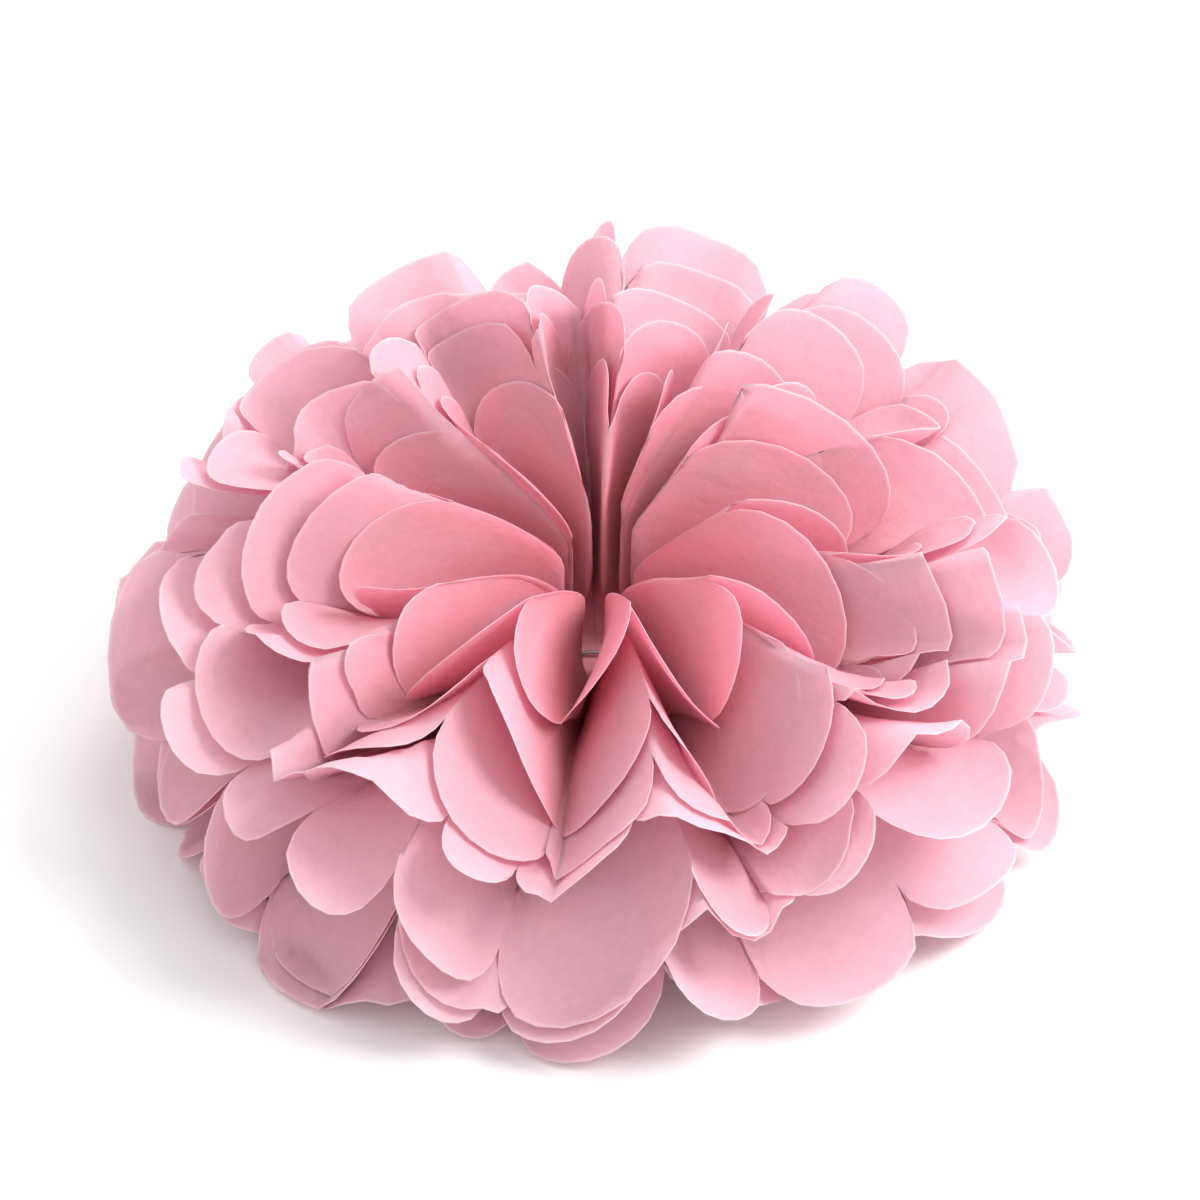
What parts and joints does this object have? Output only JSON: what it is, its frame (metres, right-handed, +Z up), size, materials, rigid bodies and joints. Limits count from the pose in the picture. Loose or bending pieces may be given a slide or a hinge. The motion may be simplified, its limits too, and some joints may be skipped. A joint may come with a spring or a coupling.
{
  "type": "tissue paper pom pom",
  "caption": "Open flower-shaped tissue paper pom pom: pleated sheets with scalloped ends, tied at the waist with wire and fanned out, resting on its lowest petals.",
  "frame": {"origin": "centre of the bounding box on the surface it rests on", "axes": "+Z up through the eye of the flower; the strips of tissue run along Y through the tie, and both fans of each sheet meet along X"},
  "size_m": [0.2518, 0.2482, 0.1019],
  "materials": {
    "tissue_1": "matt, thin and slightly see-through",
    "tissue_2": "matt, thin and slightly see-through",
    "tissue_3": "matt, thin and slightly see-through",
    "tissue_4": "matt, thin and slightly see-through",
    "tissue_5": "matt, thin and slightly see-through",
    "tissue_6": "matt, thin and slightly see-through",
    "tissue_7": "matt, thin and slightly see-through",
    "tissue_8": "matt, thin and slightly see-through",
    "tie_wire_steel": "satin"
  },
  "bodies": {
    "root": {"tissue_sheet_1": "tissue_1", "tissue_sheet_2": "tissue_2", "tissue_sheet_3": "tissue_3", "tissue_sheet_4": "tissue_4", "tissue_sheet_5": "tissue_5", "tissue_sheet_6": "tissue_6", "tissue_sheet_7": "tissue_7", "tissue_sheet_8": "tissue_8", "tie_wire": "tie_wire_steel"}
  },
  "joints": []
}
